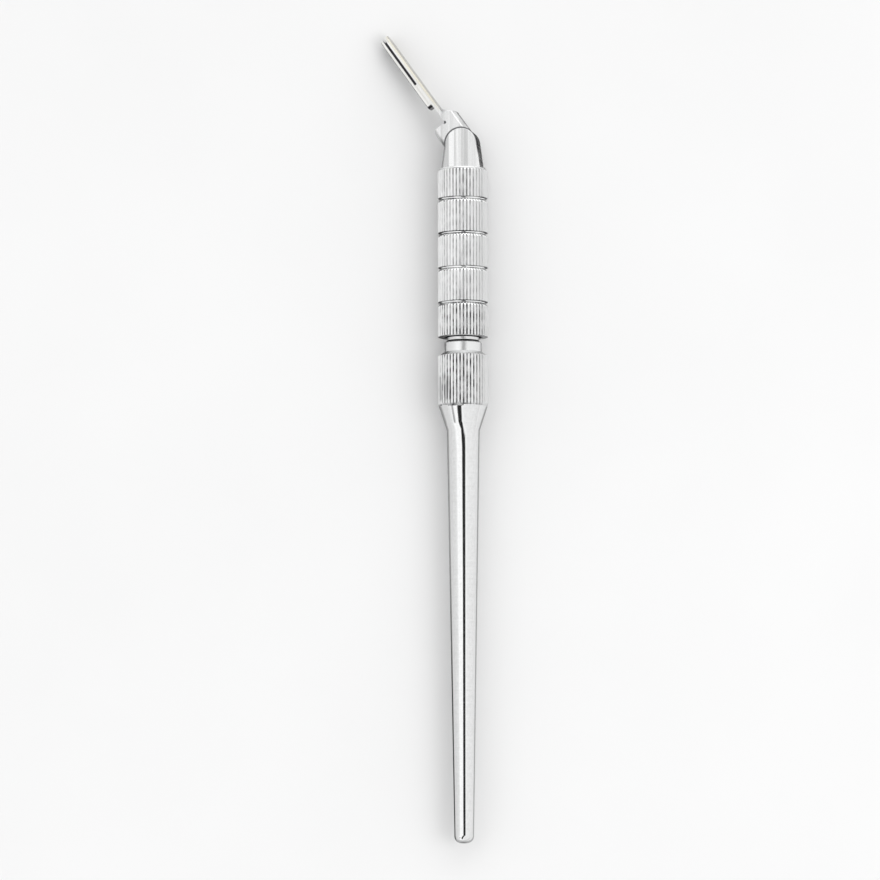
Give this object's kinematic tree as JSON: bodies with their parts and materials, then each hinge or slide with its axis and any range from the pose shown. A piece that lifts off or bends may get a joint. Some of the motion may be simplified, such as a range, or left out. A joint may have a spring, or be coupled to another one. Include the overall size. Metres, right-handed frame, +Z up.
{
  "type": "scalpel handle",
  "caption": "Round steel scalpel handle with a knurled, ringed grip, a slim tapered tail and a grooved blade fitting bent over at the head.",
  "frame": {"origin": "bottom centre of the bounding box as the handle lies on a table, on the table's surface", "axes": "+Y along the handle from the tail towards the head, +Z up from the table, -X towards the side to which the blade fitting is bent"},
  "size_m": [0.0196, 0.1504, 0.0093],
  "materials": {
    "steel": "polished stainless steel, finely ground along the tail, with bright knurl lands"
  },
  "bodies": {
    "root": {"scalpel_handle": "steel"}
  },
  "joints": []
}
